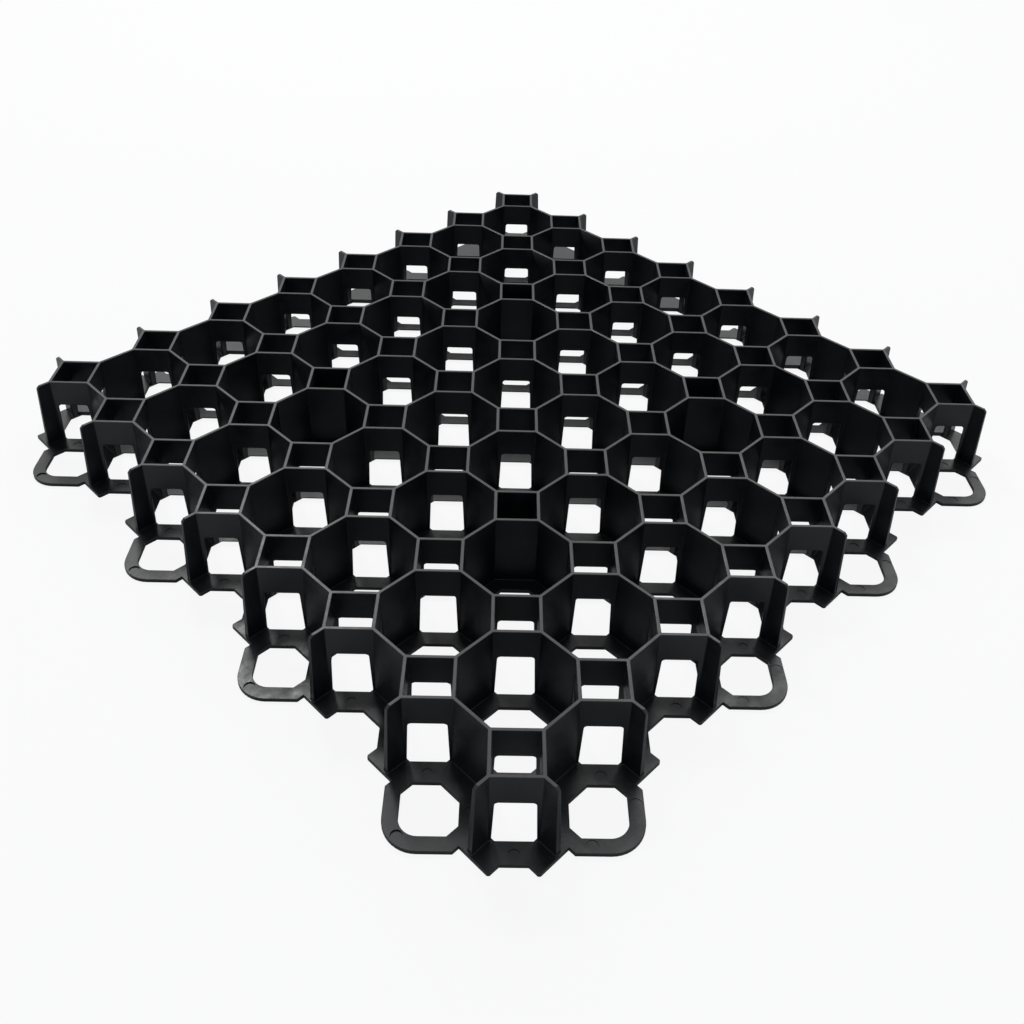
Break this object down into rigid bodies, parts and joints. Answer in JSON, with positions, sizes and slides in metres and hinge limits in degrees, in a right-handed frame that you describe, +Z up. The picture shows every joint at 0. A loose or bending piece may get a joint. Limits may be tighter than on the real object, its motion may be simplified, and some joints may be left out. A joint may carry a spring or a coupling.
{
  "type": "grass paver grid",
  "caption": "Square black plastic ground grid of upright octagon and small square cells on a base flange, with joining loops along adjoining edges; holds soil or gravel for grass paving.",
  "frame": {"origin": "middle of the whole outline, loops included, on the ground", "axes": "+Z up; X and Y along the edges of the tile, with the loops on the -X and -Y edges"},
  "size_m": [0.5218, 0.5218, 0.05],
  "materials": {
    "black_polyethylene": "black recycled polyethylene, injection moulded, satin"
  },
  "bodies": {
    "root": {"paver_grid": "black_polyethylene"}
  },
  "joints": []
}
